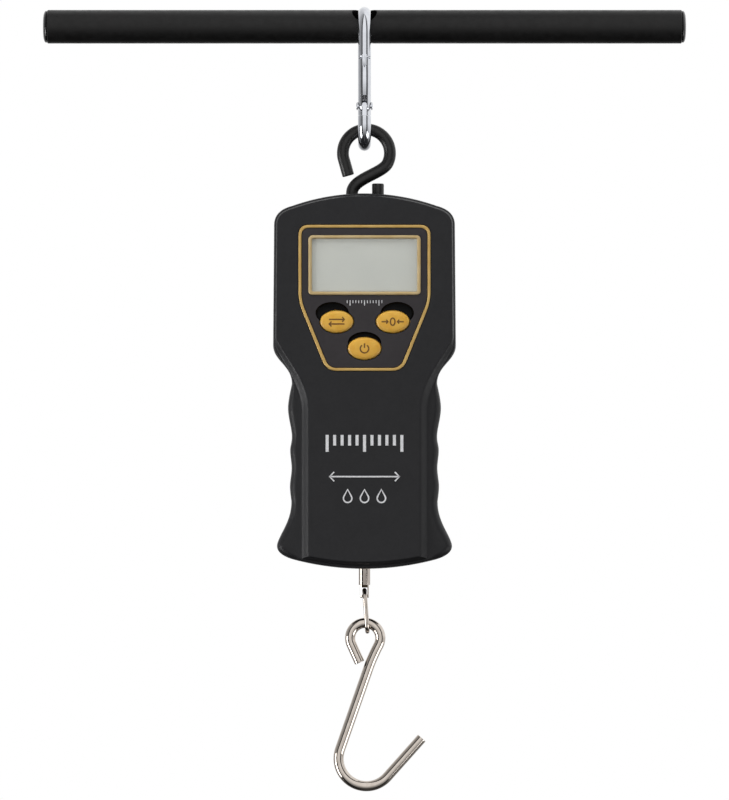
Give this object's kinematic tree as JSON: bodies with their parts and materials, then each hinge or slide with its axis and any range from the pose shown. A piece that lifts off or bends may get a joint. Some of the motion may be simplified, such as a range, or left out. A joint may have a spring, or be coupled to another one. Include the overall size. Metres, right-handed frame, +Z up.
{
  "type": "digital hanging scale",
  "caption": "Hand-held digital hanging scale: T-bar handle, snap hook with sprung gate, S-hook, cased weighing head with display and press keys, and a swinging load hook.",
  "frame": {"origin": "middle of the handle bar, on its axis, where two hands or a hanger hold it", "axes": "+X along the handle bar to the right, +Y away from the display to the back, +Z up; the hook chain hangs down from the bar"},
  "size_m": [0.2682, 0.0316, 0.3267],
  "materials": {
    "bar_paint": "satin black powder coat",
    "plug_plastic": "glossy black",
    "zinc_plate": "bright zinc plate",
    "dark_steel": "plain steel",
    "hook_coating": "black dipped coating",
    "case_plastic": "fine moulded grain, near black",
    "rubber": "black",
    "panel_film": "matt dark grey film",
    "gold_ink": "raised gold print",
    "window_clear": "clear moulded window",
    "lcd_grey": "grey blank display",
    "switch_black": "moulded black",
    "board_green": "green solder mask",
    "aluminium": "machined",
    "gauge_film": "amber film",
    "nickel_plate": "warm nickel plate",
    "battery_sleeve": "printed sleeve, unmarked",
    "key_yellow": "mustard yellow"
  },
  "bodies": {
    "handle": {"handle_tube": "bar_paint", "handle_plug_left": "plug_plastic", "handle_plug_right": "plug_plastic"},
    "snap_hook": {"snap_hook_body": "zinc_plate", "snap_hook_rivet": "zinc_plate"},
    "gate": {"snap_hook_gate": "zinc_plate", "gate_plunger": "dark_steel"},
    "scale": {"s_hook": "hook_coating", "front_case": "case_plastic", "rear_case": "case_plastic", "case_seal_left": "rubber", "case_seal_right": "rubber", "hook_grommet": "rubber", "case_screw_1": "dark_steel", "case_screw_2": "dark_steel", "case_screw_3": "dark_steel", "case_screw_4": "dark_steel", "case_screw_5": "dark_steel", "case_screw_6": "dark_steel", "face_panel": "panel_film", "face_trim": "gold_ink", "display_bezel": "gold_ink", "display_window": "window_clear", "lcd_module": "lcd_grey", "unit_switch": "switch_black", "tare_switch": "switch_black", "power_switch": "switch_black", "circuit_board": "board_green", "controller_chip": "switch_black", "hook_eye": "dark_steel", "load_cell": "aluminium", "cell_screw_left": "dark_steel", "cell_screw_right": "dark_steel", "strain_gauge_left": "gauge_film", "strain_gauge_right": "gauge_film", "load_cell_lead": "rubber", "pull_rod": "nickel_plate", "rod_nut": "nickel_plate", "rod_bush": "rubber", "battery_left": "battery_sleeve", "battery_right": "battery_sleeve", "battery_contact_left": "nickel_plate", "battery_contact_right": "nickel_plate", "battery_bridge": "nickel_plate", "battery_spring_left": "nickel_plate", "battery_spring_right": "nickel_plate"},
    "unit_key": {"unit_button": "key_yellow"},
    "tare_key": {"tare_button": "key_yellow"},
    "power_key": {"power_button": "key_yellow"},
    "cover": {"battery_cover": "case_plastic", "cover_screw": "dark_steel"},
    "link": {"swivel_link": "nickel_plate"},
    "load_hook": {"load_hook": "nickel_plate"}
  },
  "joints": [
    {"name": "snap_hook_swing", "type": "hinge", "parent": "handle", "child": "snap_hook", "pos_m": [0, -0.0067, -0.0028], "axis": [1, 0, 0], "range_deg": [-8, 15]},
    {"name": "gate_open", "type": "hinge", "parent": "snap_hook", "child": "gate", "pos_m": [0, -0.0147, -0.0338], "axis": [-1, 0, 0], "range_deg": [0, 25], "stiffness_Nm_per_rad": 0.1, "springref_deg": -17.19},
    {"name": "scale_swing", "type": "hinge", "parent": "snap_hook", "child": "scale", "pos_m": [0.0008, -0.0067, -0.0529], "axis": [0, 1, 0], "range_deg": [-40, 40]},
    {"name": "unit_press", "type": "slide", "parent": "scale", "child": "unit_key", "axis": [0, 1, 0], "range_m": [0, 0.0008], "stiffness_N_per_m": 1200, "springref_m": -0.0004},
    {"name": "tare_press", "type": "slide", "parent": "scale", "child": "tare_key", "axis": [0, 1, 0], "range_m": [0, 0.0008], "stiffness_N_per_m": 1200, "springref_m": -0.0004},
    {"name": "power_press", "type": "slide", "parent": "scale", "child": "power_key", "axis": [0, 1, 0], "range_m": [0, 0.0008], "stiffness_N_per_m": 1200, "springref_m": -0.0004},
    {"name": "cover_release", "type": "slide", "parent": "scale", "child": "cover", "axis": [0, 1, 0], "range_m": [0, 0.03]},
    {"name": "link_swing", "type": "hinge", "parent": "scale", "child": "link", "pos_m": [0, -0.0067, -0.23895], "axis": [1, 0, 0], "range_deg": [-40, 40]},
    {"name": "load_hook_swing", "type": "hinge", "parent": "link", "child": "load_hook", "pos_m": [0.0003, -0.0067, -0.25495], "axis": [0, 1, 0], "range_deg": [-35, 35]}
  ]
}
